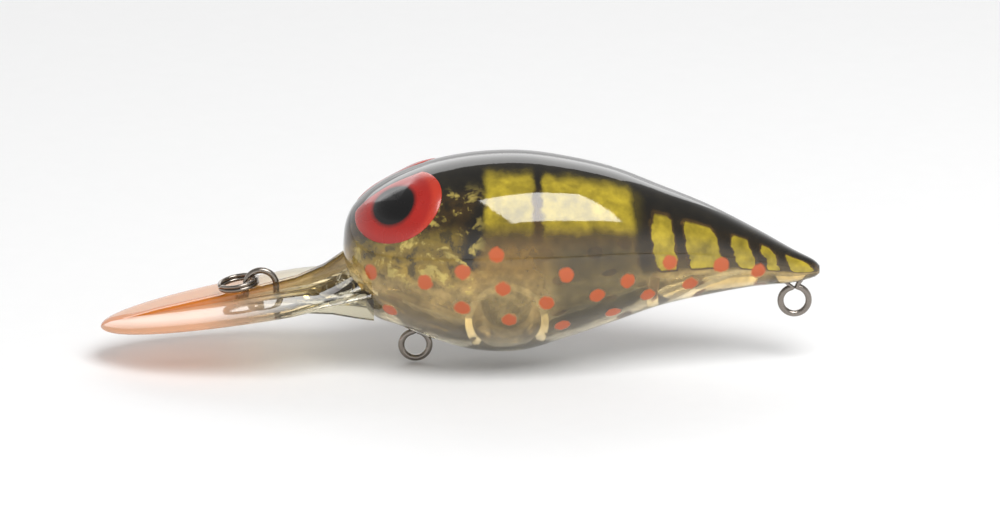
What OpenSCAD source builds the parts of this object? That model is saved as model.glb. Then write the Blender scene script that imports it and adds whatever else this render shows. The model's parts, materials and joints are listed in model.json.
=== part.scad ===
/* [Body] */
// Length of the hollow body from nose to tail tip
body_len = 51; // [46:1:56]
// Height of the body at its deepest station
body_height = 21.5; // [20:0.5:24]
// Width of the body at its widest station
body_width = 19.6; // [18:0.2:22]
// Wall thickness of the moulded shell
wall = 1.2; // [1:0.1:1.4]

/* [Diving lip] */
// Reach of the lip in front of the nose, along its own slope
lip_len = 26.5; // [22:0.1:30]
// Full width of the lip
lip_width = 16.4; // [14:0.2:19]
// Thickness of the lip away from its rim
lip_t = 1.1; // [0.9:0.1:1.4]
// Angle of the lip below the body's axis
lip_angle = 10.2; // [9:0.1:14]
// Width of the spine that stands on the middle of the lip
spine_w = 1.5; // [1.3:0.1:1.8]

/* [Wire] */
// Diameter of the stainless wire in the line tie and the hook eyes
wire_d = 0.68; // [0.6:0.02:0.7]
// Radius of the round hole in each hook eye
eye_hole_r = 1.2; // [1.1:0.05:1.3]
// Radius of the line tie's arch, to the middle of its wire
arch_r = 1.62; // [1.6:0.02:1.8]
// Diameter of the wire that the split ring is wound from
ring_wire = 0.42; // [0.36:0.02:0.42]
// Outer diameter of the split ring
ring_od = 4.5; // [4.4:0.1:4.8]

/* [Rattle] */
// Diameter of the loose steel ball in the belly chamber
ball_d = 5.4; // [4.6:0.1:5.6]
// Inner radius of the moulded ball chamber
chamber_r = 3.6; // [3.4:0.05:3.8]

/* [Eyes] */
// Diameter of each moulded eye disc
eye_d = 9.3; // [8:0.1:10]
// Depth of the recess that the eye disc sits in
eye_t = 0.45; // [0.35:0.05:0.5]

/* [Hidden] */

// Stations of the body from nose to tail: share of its length; its top, the height of its
// widest point and its bottom as shares of half its height; its half width as a share of
// half its width.
STATIONS = [
    [0.000,  0.08,  0.05,  0.02, 0.03],
    [0.005,  0.27,  0.04, -0.12, 0.24],
    [0.018,  0.42,  0.03, -0.29, 0.42],
    [0.040,  0.54,  0.02, -0.50, 0.58],
    [0.069,  0.65,  0.01, -0.66, 0.71],
    [0.118,  0.78,  0.00, -0.74, 0.84],
    [0.186,  0.90,  0.00, -0.87, 0.94],
    [0.275,  0.98,  0.00, -0.99, 1.00],
    [0.373,  1.00,  0.00, -1.00, 0.99],
    [0.471,  0.94,  0.00, -0.86, 0.92],
    [0.569,  0.83,  0.01, -0.70, 0.80],
    [0.667,  0.65,  0.01, -0.54, 0.64],
    [0.765,  0.46, -0.01, -0.44, 0.48],
    [0.863,  0.22, -0.08, -0.36, 0.33],
    [0.941,  0.01, -0.16, -0.33, 0.20],
    [0.986, -0.10, -0.19, -0.28, 0.11],
    [1.000, -0.16, -0.20, -0.24, 0.04]];
// Rings drawn in each span between stations, and points round a ring
SPAN_STEPS = 2;
RING_POINTS = 32;
// Fullness of the cross-section: 2 is an ellipse
FULLNESS = 2.1;
// Least distance from a section's middle to its edge
THIN = 0.15;
half_h = body_height / 2;
half_w = body_width / 2;

// Everything below is laid out from the nose, with z = 0 on the body's axis, and is then
// moved so that the middle of the line tie's arch is the origin.
lip_root_z = -3.8;
// The line tie: how far in front of the nose, and how high over the lip's middle
tie_x = -8.8;
tie_rise = 1.48;
tie = [tie_x, 0, lip_root_z + tie_x * tan(lip_angle) + tie_rise];
belly_eye = [0.151 * body_len, 0, -0.986 * half_h];
tail_eye = [0.949 * body_len, 0, -0.521 * half_h];
// Legs of each eye's wire: angle from straight up, length
BELLY_LEGS = [[-14, 3.4], [42, 2.3]];
TAIL_LEGS = [[-50, 3.2], [24, 1.6]];

wire_r = wire_d / 2;
// The loop's inner side is pressed to a narrow flat land, this much outside its own radius
land = 0.03;
loop_r = eye_hole_r + wire_r - land;
groove = 0.05;
foot = 1.2;
// The straight legs are drawn this much finer than the loops and the knees
drawn = 0.02;
WIRE_FACETS = 48;
GROOVE_FACETS = 14;

// The ring hangs on the arch by its rear bar; at rest it lies along the lip's slope
hinge = tie + [-0.42, 0, 0.58];
ring_r = (ring_od - ring_wire) / 2;

// The wall is thicker along the weld line in the back and the belly
back_wall = 1.6;
belly_wall = 2.3;
web_w = 1;
// The rear wall of the main chamber is an arc about this point
arc_mid = [0.333 * body_len, 0, 0.5];
arc_r = 0.306 * body_len;
bulkhead = 1.1;
tail_block = 0.86 * body_len;
PART = 60;

chamber = [0.343 * body_len, 0, -0.49 * half_h];
chamber_wall = 0.7;
root_in = 0.4;
chamber_skin = 0.9;
ball_gap = 0.06;
ball = [chamber[0], 0, chamber[2] - chamber_r + ball_d / 2 + ball_gap];

// Middle of an eye disc on the side given by the sign, and how far it faces up from level
function eye_mid(side) = [0.118 * body_len, side * 0.265 * body_width, 0.333 * body_height];
EYE_RISE = 44;
eye_proud = 0.12;
eye_bore = 7;
// Each disc stops this far from the middle of the crown
eye_gap = 1.9;

// Third-order blend through four neighbouring values
function blend(a, b, c, d, t) =
    b + (c - a) * t / 2 + (2 * a - 5 * b + 4 * c - d) * t * t / 2
      + (3 * b - a - 3 * c + d) * t * t * t / 2;
function station(i) = STATIONS[max(0, min(len(STATIONS) - 1, i))];
function between(i, t) =
    [for (k = [0:4]) blend(station(i - 1)[k], station(i)[k], station(i + 1)[k], station(i + 2)[k], t)];
function all_rows() = concat(
    [for (i = [0:len(STATIONS) - 2], s = [0:SPAN_STEPS - 1]) between(i, s / SPAN_STEPS)],
    [station(len(STATIONS) - 1)]);

// A signed power, for the rounded-square cross-section
function bulge(c) = sign(c) * pow(abs(c), 2 / FULLNESS);
function ring_point(row, a, top, bottom, side) =
    let (z_mid = row[2] * half_h,
         up = max(THIN, row[1] * half_h - z_mid - top),
         down = max(THIN, z_mid - row[3] * half_h - bottom),
         out = max(THIN, row[4] * half_w - side))
    [row[0] * body_len, out * bulge(cos(a)), z_mid + (sin(a) >= 0 ? up : down) * bulge(sin(a))];

// The body's skin, or a surface inside it by the given insets
module loft(top = 0, bottom = 0, side = 0) {
    rows = all_rows();
    n = RING_POINTS;
    last = len(rows) - 1;
    points = [for (row = rows, j = [0:n - 1]) ring_point(row, 360 * j / n, top, bottom, side)];
    sides = [for (i = [0:last - 1], j = [0:n - 1]) let (k = (j + 1) % n)
        each [[i * n + j, (i + 1) * n + k, i * n + k], [i * n + j, (i + 1) * n + j, (i + 1) * n + k]]];
    nose = [for (j = [0:n - 1]) j];
    tail = [for (j = [n - 1:-1:0]) last * n + j];
    faces = concat(sides, [nose, tail]);
    polyhedron(points, faces, convexity = 6);
}

// A box across the whole part, from x0 to x1 and from y0 to y1
module band(x0, x1, y0, y1) {
    translate([x0, y0, -PART / 2]) cube([x1 - x0, y1 - y0, PART]);
}

// A cylinder across the body, round a point of the middle plane
module across(at, r, half, facets = 48) {
    translate(at) rotate([90, 0, 0]) cylinder(r = r, h = 2 * half, center = true, $fn = facets);
}

// A side view drawn as x and z points, given a width across the body
module side_plate(points, y0, y1) {
    translate([0, y1, 0]) rotate([90, 0, 0]) linear_extrude(y1 - y0) polygon(points);
}

// The two chambers: the main one, and the one in the tail behind a curved wall
module chambers() {
    intersection() {
        loft(back_wall, belly_wall, wall);
        union() {
            intersection() {
                across(arc_mid, arc_r, half_w, 64);
                band(0.045 * body_len, body_len, -half_w, half_w);
            }
            difference() {
                band(0.5 * body_len, tail_block, -half_w, half_w);
                across(arc_mid, arc_r + bulkhead, half_w + 1, 64);
            }
        }
    }
}

// Height of the middle of the lip's thickness at x
function lip_z(x) = lip_root_z + x * tan(lip_angle);
// Turns x and height above the lip's middle into x and z
function on_lip(points) = [for (p = points) [p[0], lip_z(p[0]) + p[1]]];

// The flat blade: half an ellipse in front of short straight sides, thinner at its rim
module blade() {
    straight = 5.4;
    root = 3.2;
    waist = lip_width / 2 - 2;
    for (layer = [[0, 0.5], [0.6, 1]])
        translate([0, 0, lip_root_z]) rotate([0, -lip_angle, 0])
        translate([0, 0, -lip_t * layer[1] / 2])
        linear_extrude(lip_t * layer[1])
        polygon(concat(
            [for (a = [90:6:270])
                [(lip_len - straight - layer[0]) * cos(a) - straight, (lip_width / 2 - layer[0]) * sin(a)]],
            [[root, layer[0] - waist], [root, waist - layer[0]]]));
}

// The central spine that carries the line tie and the weld between the two half lips
module spine() {
    ridge = [[-25, 0.35], [-20, 0.85], [-14, 1.2], [tie_x, tie_rise], [-5, 1.8], [-2, 2.6], [1, 4.2]];
    keel = [[2.6, -2.2], [0, -1.5], [-3, -0.9], [-8, -0.6], [-24, -0.3]];
    side_plate(on_lip(concat(ridge, keel)), -spine_w / 2, spine_w / 2);
}

// Low ribs under the lip's root, where it runs into the chin
module root_ribs() {
    for (y = [-5.4, 0, 5.4])
        side_plate(on_lip([[-5.5, -0.4], [3.4, -0.4], [3.4, -2.9], [1.5, -2.3], [-1, -1.4]]), y - 0.45, y + 0.45);
}

// The rounded blend between the lip's upper side and the head, in short slices
module fairing() {
    SLICES = 8;
    from = -3.6;
    reach = 5.6;
    for (i = [0:SLICES - 1])
        hull()
        for (s = [i / SLICES, (i + 1) / SLICES])
            translate([from + reach * s, 0, lip_z(from + reach * s)])
            rotate([0, 90, 0])
            scale([0.5 + 2.6 * s * s, 6.2 - 0.8 * s, 1])
            cylinder(r = 1, h = 0.02, $fn = 32);
}

// Webs in the middle plane that hold the legs of the two hook eyes, rooted in the wall
module webs() {
    intersection() {
        loft(root_in, root_in, root_in);
        union() {
            translate([belly_eye[0] - 3.3, -web_w, -half_h]) cube([7.2, 2 * web_w, 6.4]);
            band(tail_block - 1.5, body_len, -web_w, web_w);
        }
    }
}

// The two legs of a hook eye's wire, each with a knee that ends in a short foot
module eye_legs(at, legs, r, facets) {
    for (leg = legs)
        translate(at + [loop_r * sin(leg[0] / 2), 0, loop_r * cos(leg[0] / 2)])
        rotate([0, leg[0], 0]) {
            cylinder(r = r - drawn, h = leg[1], $fn = facets);
            translate([0, 0, leg[1]]) {
                sphere(r = r, $fn = facets);
                rotate([0, sign(leg[0]) * 90 - leg[0], 0]) cylinder(r = r - drawn, h = foot, $fn = facets);
            }
        }
}

// The line tie's wire: a half-round arch whose legs go down into the spine
module tie_wire(r, facets) {
    leg = 1.3;
    translate(tie) {
        rotate([90, 0, 0]) rotate_extrude(angle = 180, $fn = 2 * facets)
            translate([arch_r, 0]) circle(r = r, $fn = facets);
        for (side = [-1, 1])
            translate([side * arch_r, 0, -leg]) {
                cylinder(r = r - drawn, h = leg + 0.1, $fn = facets);
                sphere(r = r, $fn = facets);
                rotate([0, side * 90 - lip_angle, 0]) cylinder(r = r - drawn, h = foot, $fn = facets);
            }
    }
}

// The round of an eye disc, bored at right angles to the body's length and cut off at the crown
module eye_round(side, r, gap) {
    intersection() {
        translate(eye_mid(side))
            rotate([side * (EYE_RISE - 90), 0, 0])
            translate([0, 0, -eye_bore / 2]) cylinder(r = r, h = eye_bore, $fn = 40);
        band(-PART, PART, side > 0 ? gap : -PART, side > 0 ? PART : -gap);
    }
}

// Both halves together, before they are parted
module moulding() {
    difference() {
        union() {
            difference() {
                union() {
                    loft();
                    blade();
                    spine();
                    root_ribs();
                    fairing();
                }
                chambers();
            }
            webs();
            intersection() {
                loft(root_in, root_in, root_in);
                across(chamber, chamber_r + chamber_wall, half_w, 36);
            }
        }
        intersection() {
            loft(chamber_skin, chamber_skin, chamber_skin);
            across(chamber, chamber_r, half_w + 1, 36);
        }
        tie_wire(wire_r + groove, GROOVE_FACETS);
        eye_legs(belly_eye, BELLY_LEGS, wire_r + groove, GROOVE_FACETS);
        eye_legs(tail_eye, TAIL_LEGS, wire_r + groove, GROOVE_FACETS);
        for (side = [-1, 1])
            difference() {
                eye_round(side, eye_d / 2 + groove, eye_gap - groove);
                loft(eye_t + groove, eye_t + groove, eye_t + groove);
            }
    }
}

// One half of the moulding: the left one is on the -Y side
module half_moulding(side) {
    translate(-tie)
        intersection() {
            moulding();
            band(-PART, PART, side > 0 ? 0 : -PART / 2, side > 0 ? PART / 2 : 0);
        }
}

module shell_left() {
    color([0.55, 0.50, 0.25, 0.6])
        half_moulding(-1);
}

module shell_right() {
    color([0.55, 0.50, 0.25, 0.6])
        half_moulding(1);
}

// A thin disc wrapped over the head, in its recess, and standing a little proud of it
module eye_disc(side) {
    color("firebrick")
        translate(-tie)
        intersection() {
            eye_round(side, eye_d / 2, eye_gap);
            difference() {
                loft(-eye_proud, -eye_proud, -eye_proud);
                loft(eye_t, eye_t, eye_t);
            }
        }
}

module eye_left() {
    eye_disc(-1);
}

module eye_right() {
    eye_disc(1);
}

module line_tie_eye() {
    color("silver")
        translate(-tie) tie_wire(wire_r, WIRE_FACETS);
}

// A hook eye: the loop's inner side is pressed to a true round hole
module hook_eye(at, legs) {
    color("silver")
        translate(-tie)
        difference() {
            union() {
                translate(at) rotate([90, 0, 0]) rotate_extrude($fn = 96)
                    translate([loop_r, 0]) circle(r = wire_r, $fn = WIRE_FACETS);
                eye_legs(at, legs, wire_r, WIRE_FACETS);
            }
            across(at, eye_hole_r, wire_r, 64);
        }
}

module belly_hook_eye() {
    hook_eye(belly_eye, BELLY_LEGS);
}

module tail_hook_eye() {
    hook_eye(tail_eye, TAIL_LEGS);
}

// Two flat turns of fine wire, one on the other, lying forwards along the lip
module split_ring() {
    bar_r = ring_wire / 2;
    rise = bar_r * 0.95;
    color("silver")
        translate(hinge - tie) rotate([0, -lip_angle, 0]) translate([-ring_r, 0, 0])
        rotate_extrude($fn = 64)
        translate([ring_r, 0]) {
            for (turn = [-1, 1]) translate([0, turn * rise]) circle(r = bar_r, $fn = 24);
            square([ring_wire, 2 * rise], center = true);
        }
}

module rattle_ball() {
    color("slategray")
        translate(ball - tie) sphere(d = ball_d, $fn = 64);
}

shell_left();
shell_right();
eye_left();
eye_right();
line_tie_eye();
belly_hook_eye();
tail_hook_eye();
split_ring();
rattle_ball();
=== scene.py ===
import json
import math

import bmesh
import bpy
import numpy as np
from bpy.props import FloatProperty, FloatVectorProperty, IntProperty, PointerProperty
from mathutils import Matrix, Vector


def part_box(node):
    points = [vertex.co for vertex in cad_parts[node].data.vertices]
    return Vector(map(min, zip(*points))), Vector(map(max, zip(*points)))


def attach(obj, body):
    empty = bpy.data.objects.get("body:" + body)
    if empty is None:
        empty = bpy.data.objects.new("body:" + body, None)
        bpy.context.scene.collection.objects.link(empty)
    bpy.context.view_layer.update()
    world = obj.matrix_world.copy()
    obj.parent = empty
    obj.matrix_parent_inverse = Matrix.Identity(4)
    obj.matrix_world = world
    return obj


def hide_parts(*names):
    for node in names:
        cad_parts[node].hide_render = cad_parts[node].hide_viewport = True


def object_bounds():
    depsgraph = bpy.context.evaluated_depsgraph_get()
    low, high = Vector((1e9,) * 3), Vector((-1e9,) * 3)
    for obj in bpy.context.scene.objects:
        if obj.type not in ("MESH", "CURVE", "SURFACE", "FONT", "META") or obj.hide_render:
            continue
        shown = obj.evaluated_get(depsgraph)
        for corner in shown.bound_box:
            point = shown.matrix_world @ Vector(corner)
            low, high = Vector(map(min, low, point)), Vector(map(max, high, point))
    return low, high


bl_info = {
    "name": "Clear Crankbait Lure",
    "version": (1, 0, 0),
    "blender": (4, 5, 0),
    "location": "View3D > Sidebar > Lure",
    "description": "Dresses the packed frame of a clear deep-diving lure",
    "category": "Object",
}

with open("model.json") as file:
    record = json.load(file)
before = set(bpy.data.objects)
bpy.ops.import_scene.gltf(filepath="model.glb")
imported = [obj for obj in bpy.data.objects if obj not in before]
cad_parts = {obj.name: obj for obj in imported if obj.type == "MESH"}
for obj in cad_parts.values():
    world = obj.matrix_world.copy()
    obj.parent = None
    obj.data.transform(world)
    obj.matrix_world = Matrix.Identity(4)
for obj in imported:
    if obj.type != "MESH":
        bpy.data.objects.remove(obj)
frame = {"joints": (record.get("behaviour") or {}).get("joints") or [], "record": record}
CAD_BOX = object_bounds()

MM = 0.001
BODY_LEN = 0.051
BODY_HEIGHT = 0.0215
BALL_LOW, BALL_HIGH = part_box("rattle_ball")
MOUNTS = {mount["name"]: Vector(mount["pos_m"]) for mount in frame["record"]["mounts"]}
SWING = next(joint for joint in frame["joints"] if joint["name"] == "ring_swing")

# Stations of the body from nose to tail: share of its length; its top, the height of its widest
# point and its bottom as shares of half its height; its half width as a share of half its width.
STATIONS = np.array([
    [0.000, 0.08, 0.05, 0.02, 0.03],
    [0.005, 0.27, 0.04, -0.12, 0.24],
    [0.018, 0.42, 0.03, -0.29, 0.42],
    [0.040, 0.54, 0.02, -0.50, 0.58],
    [0.069, 0.65, 0.01, -0.66, 0.71],
    [0.118, 0.78, 0.00, -0.74, 0.84],
    [0.186, 0.90, 0.00, -0.87, 0.94],
    [0.275, 0.98, 0.00, -0.99, 1.00],
    [0.373, 1.00, 0.00, -1.00, 0.99],
    [0.471, 0.94, 0.00, -0.86, 0.92],
    [0.569, 0.83, 0.01, -0.70, 0.80],
    [0.667, 0.65, 0.01, -0.54, 0.64],
    [0.765, 0.46, -0.01, -0.44, 0.48],
    [0.863, 0.22, -0.08, -0.36, 0.33],
    [0.941, 0.01, -0.16, -0.33, 0.20],
    [0.986, -0.10, -0.19, -0.28, 0.11],
    [1.000, -0.16, -0.20, -0.24, 0.04],
])
FULLNESS = 2.1
THIN = 0.1

# Orange spots on each flank: millimetres from the nose, and height as a share of the reach
# from the widest line (0) to the belly (-1) or the back (1).
SPOTS = [
    (3.1, -0.08), (5.1, -0.62), (8.9, -0.09), (12.9, 0.05), (16.4, 0.22), (12.8, -0.35),
    (17.1, -0.12), (17.8, -0.46), (21.7, -0.31), (23.8, 0.00), (27.1, -0.33), (30.3, -0.18),
    (23.4, -0.66), (28.8, -0.68), (32.5, -0.52), (34.8, 0.05), (37.0, -0.45), (40.3, -0.03),
    (44.3, -0.18),
]


def linear(code):
    """An sRGB hex colour as linear RGB."""
    parts = [int(code[i:i + 2], 16) / 255 for i in (0, 2, 4)]
    return tuple(p / 12.92 if p <= 0.04045 else ((p + 0.055) / 1.055) ** 2.4 for p in parts)


def colour_prop(name, code, description):
    return FloatVectorProperty(
        name=name, description=description, subtype="COLOR", size=3, min=0, max=1, default=linear(code))


def length_prop(name, metres, description):
    return FloatProperty(name=name, description=description, default=metres, unit="LENGTH", precision=5)


class LureSizes(bpy.types.PropertyGroup):
    """Sizes that the pieces are worked out from"""
    body_len: length_prop("Body length", BODY_LEN, "From the nose to the tip of the tail")
    body_height: length_prop("Body height", BODY_HEIGHT, "At the deepest station")
    body_width: length_prop("Body width", 0.0196, "At the widest station")
    wall: length_prop("Wall", 0.0012, "Thickness of the moulded wall at the flanks")
    back_wall: length_prop("Back wall", 0.0016, "Thickness along the weld in the back")
    belly_wall: length_prop("Belly wall", 0.0023, "Thickness along the weld in the belly")
    lip_len: length_prop("Lip length", 0.0265, "Reach of the lip in front of the nose")
    lip_width: length_prop("Lip width", 0.0164, "Full width of the lip")
    lip_t: length_prop("Lip thickness", 0.0011, "Thickness of the lip away from its rim")
    lip_angle: FloatProperty(
        name="Lip angle", description="Slope of the lip below the body's axis",
        default=math.radians(10.2), subtype="ANGLE")
    spine_w: length_prop("Spine width", 0.0015, "Width of the spine on the lip")
    wire_d: length_prop("Wire", 0.00068, "Diameter of the wire in the eyes and the line tie")
    loop_r: length_prop("Hook eye radius", 0.00151, "To the middle of the wire")
    arch_r: length_prop("Arch radius", 0.00162, "To the middle of the line tie's wire")
    ring_wire: length_prop("Ring wire", 0.00042, "Wire that the split ring is wound from")
    chamber_r: length_prop("Ball chamber", 0.0036, "Inner radius of the ball chamber")
    eye_d: length_prop("Eye disc", 0.0093, "Diameter of an eye disc")
    spot_d: length_prop("Spot", 0.00195, "Diameter of an orange spot")
    around: IntProperty(name="Points round", description="Points round the body", default=144, min=32)
    steps: IntProperty(name="Rings", description="Rings between two stations", default=8, min=2)


class LurePaint(bpy.types.PropertyGroup):
    """Colours of the finishes"""
    film: colour_prop("Olive film", "CDB070", "Thin olive tint over the clear plastic")
    flank: colour_prop("Flank", "A07E36", "Brown olive of the flank")
    upper: colour_prop("Upper flank", "4E3A19", "Brown under the yellow panels")
    rear: colour_prop("Rear flank", "3A4032", "Grey green of the rear of the belly")
    dark: colour_prop("Dark", "1B170E", "Dark bars and the back")
    gold: colour_prop("Gold", "9A8228", "Gold patches behind the eye")
    # the gold flakes are real, but this lighter colour is a painted glint: their sparkle given as colour
    glint: colour_prop("Gold flakes and painted glint", "D2BC62", "Lighter flecks in the gold: flake colour with painted glint")
    yellow: colour_prop("Yellow", "A69226", "Yellow panels")
    belly: colour_prop("Belly", "EDE8D4", "Nearly clear belly")
    spot: colour_prop("Spots", "BC541E", "Orange spots")
    iris: colour_prop("Iris", "A01A10", "Red of the eye")
    iris_edge: colour_prop("Iris edge", "B5301A", "Lighter red at the rim of the eye")
    pupil: colour_prop("Pupil", "040303", "Black of the eye")
    lip_tip: colour_prop("Lip tip", "F6C09A", "Orange pink of the lip's tip")
    lip_root: colour_prop("Lip root", "DDD6BC", "Nearly clear lip root")
    spine: colour_prop("Spine", "E4862A", "Deep orange of the spine")
    steel: colour_prop("Wire", "989088", "Drawn stainless wire")
    ball: colour_prop("Ball", "707878", "Steel ball")
    floor: colour_prop("Floor", "F4F4F4", "Floor and backdrop")


def add(tree, kind, inputs=None, **settings):
    """Adds a node with its settings, and sets or links the inputs given by name or number."""
    node = tree.nodes.new(kind)
    for key, value in settings.items():
        setattr(node, key, value)
    for key, value in (inputs or {}).items():
        if isinstance(value, bpy.types.NodeSocket):
            tree.links.new(value, node.inputs[key])
        else:
            node.inputs[key].default_value = value
    return node


def new_material(name):
    material = bpy.data.materials.new(name)
    material.use_nodes = True
    tree = material.node_tree
    return material, tree, tree.nodes["Principled BSDF"]


def rgba(colour):
    return (*colour, 1.0)


# ---------------------------------------------------------------- body form

def blend(a, b, c, d, t):
    return (b + (c - a) * t / 2 + (2 * a - 5 * b + 4 * c - d) * t * t / 2
            + (3 * b - a - 3 * c + d) * t ** 3 / 2)


def body_rows(steps):
    """The stations with smooth steps between them."""
    last = len(STATIONS) - 1

    def station(i):
        return STATIONS[max(0, min(last, i))]

    rows = [blend(station(i - 1), station(i), station(i + 1), station(i + 2), s / steps)
            for i in range(last) for s in range(steps)]
    return np.array(rows + [STATIONS[last]])


def bulge(c):
    return np.sign(c) * np.abs(c) ** (2 / FULLNESS)


class Body:
    """The body's form in millimetres from the nose, with z = 0 on its axis."""

    def __init__(self, sizes):
        self.length = sizes.body_len / MM
        self.half_h = sizes.body_height / MM / 2
        self.half_w = sizes.body_width / MM / 2
        self.rows = body_rows(sizes.steps)
        self.around = sizes.around

    def section(self, x):
        """Middle height, reach up, reach down and half width at x."""
        share = np.asarray(x) / self.length
        top, middle, bottom, width = (
            np.interp(share, self.rows[:, 0], self.rows[:, k]) for k in (1, 2, 3, 4))
        middle = middle * self.half_h
        return middle, top * self.half_h - middle, middle - bottom * self.half_h, width * self.half_w

    def skin(self, points):
        """For each point: its height as a share of the reach, and 1 on the skin, less inside."""
        middle, up, down, out = self.section(points[:, 0])
        rise = points[:, 2] - middle
        share = rise / np.maximum(np.where(rise >= 0, up, down), 0.05)
        fill = (np.abs(points[:, 1]) / np.maximum(out, 0.05)) ** FULLNESS + np.abs(share) ** FULLNESS
        outside = (points[:, 0] < 0) | (points[:, 0] > self.length)
        return np.clip(share, -1.2, 1.2), np.where(outside, 2.0, fill)

    def on_skin(self, x, share, side):
        """The point of the skin at a height given as a share of the reach."""
        middle, up, down, out = (float(v) for v in self.section(x))
        z = middle + share * (up if share >= 0 else down)
        return np.array([x, side * out * (1 - abs(share) ** FULLNESS) ** (1 / FULLNESS), z])

    def loft(self, top=0.0, bottom=0.0, side=0.0):
        angles = np.linspace(0, 2 * math.pi, self.around, endpoint=False)
        rings = []
        for share, high, middle, low, width in self.rows:
            z_mid = middle * self.half_h
            up = max(THIN, high * self.half_h - z_mid - top)
            down = max(THIN, z_mid - low * self.half_h - bottom)
            out = max(THIN, width * self.half_w - side)
            reach = np.where(np.sin(angles) >= 0, up, down)
            rings.append(np.column_stack([
                np.full_like(angles, share * self.length),
                out * bulge(np.cos(angles)), z_mid + reach * bulge(np.sin(angles))]))
        return rings_mesh("loft", rings)


# ---------------------------------------------------------------- mesh tools, in millimetres

def scratch_object(name, vertices, faces):
    """A closed mesh as an object in the scene, with its faces turned outwards."""
    mesh = bpy.data.meshes.new(name)
    mesh.from_pydata([tuple(v) for v in vertices], [], faces)
    bm = bmesh.new()
    bm.from_mesh(mesh)
    bmesh.ops.remove_doubles(bm, verts=bm.verts, dist=1e-5)
    bmesh.ops.recalc_face_normals(bm, faces=bm.faces)
    bm.to_mesh(mesh)
    bm.free()
    made = bpy.data.objects.new(name, mesh)
    bpy.context.scene.collection.objects.link(made)
    return made


def rings_mesh(name, rings):
    """A skin over equal rings of points, closed by a point in the middle of each end."""
    n = len(rings[0])
    vertices = np.vstack(rings + [rings[0].mean(axis=0), rings[-1].mean(axis=0)])
    first, last = len(vertices) - 2, len(vertices) - 1
    end = (len(rings) - 1) * n
    faces = [(i * n + j, i * n + (j + 1) % n, (i + 1) * n + (j + 1) % n, (i + 1) * n + j)
             for i in range(len(rings) - 1) for j in range(n)]
    faces += [(first, (j + 1) % n, j) for j in range(n)]
    faces += [(last, end + j, end + (j + 1) % n) for j in range(n)]
    return scratch_object(name, vertices, faces)


def drum(middle, radius, half, points=128):
    """A cylinder across the body."""
    angles = np.linspace(0, 2 * math.pi, points, endpoint=False)
    rings = [np.column_stack([
        middle[0] + radius * np.cos(angles), np.full_like(angles, y),
        middle[2] + radius * np.sin(angles)]) for y in (-half, half)]
    return rings_mesh("drum", rings)


def block(low, high):
    xs, ys, zs = zip(low, high)
    vertices = [(x, y, z) for x in xs for y in ys for z in zs]
    faces = [(0, 1, 3, 2), (4, 6, 7, 5), (0, 4, 5, 1), (2, 3, 7, 6), (0, 2, 6, 4), (1, 5, 7, 3)]
    return scratch_object("block", vertices, faces)


def evaluated_mesh(made):
    graph = bpy.context.evaluated_depsgraph_get()
    graph.update()
    return bpy.data.meshes.new_from_object(made.evaluated_get(graph))


def combine(target, tool, operation):
    """Joins, cuts or keeps what two scratch objects share, in the first, and drops the second."""
    modifier = target.modifiers.new("combine", "BOOLEAN")
    modifier.operation = operation
    modifier.solver = "MANIFOLD"
    modifier.object = tool
    mesh = evaluated_mesh(target)
    if not mesh.polygons:
        raise RuntimeError(f"{operation} of {target.name} and {tool.name} came out empty")
    target.modifiers.clear()
    target.data = mesh
    bpy.data.objects.remove(tool)
    return target


def finish_piece(made, name, origin, materials, body, sharp=math.radians(38)):
    """Names the piece, moves its mesh to its place in metres and gives it its materials."""
    made.name = name
    made.data.name = name
    made.data.transform(Matrix.Translation(origin) @ Matrix.Scale(MM, 4))
    bm = bmesh.new()
    bm.from_mesh(made.data)
    for edge in bm.edges:
        edge.smooth = len(edge.link_faces) == 2 and edge.calc_face_angle(0.0) < sharp
    for face in bm.faces:
        face.smooth = True
    bm.to_mesh(made.data)
    bm.free()
    made.data.materials.clear()
    for material in materials:
        made.data.materials.append(material)
    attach(made, body)
    return made


# ---------------------------------------------------------------- finishes

def clear_moulding(paint):
    """Clear polycarbonate, injection moulded: shows the far wall and the ball, bent by its curve."""
    material, tree, shader = new_material("moulded_clear_polycarbonate")
    place = add(tree, "ShaderNodeTexCoord")
    # flow lines of the melt are about 3 mm apart, with a fine ripple from the tool between them
    flow = add(tree, "ShaderNodeTexNoise", {"Vector": place.outputs["Object"], "Scale": 330.0, "Detail": 4.0})
    tint = add(tree, "ShaderNodeMix", {0: flow.outputs["Fac"], 6: rgba(paint.belly), 7: rgba(paint.film)},
               data_type="RGBA")
    rough = add(tree, "ShaderNodeMapRange", {"Value": flow.outputs["Fac"], "To Min": 0.0, "To Max": 0.04})
    bump = add(tree, "ShaderNodeBump", {"Height": flow.outputs["Fac"], "Strength": 0.2, "Distance": 0.0002})
    tree.links.new(tint.outputs[2], shader.inputs["Base Color"])
    tree.links.new(rough.outputs["Result"], shader.inputs["Roughness"])
    tree.links.new(bump.outputs["Normal"], shader.inputs["Normal"])
    shader.inputs["IOR"].default_value = 1.58
    shader.inputs["Transmission Weight"].default_value = 0.97
    return material


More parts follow.
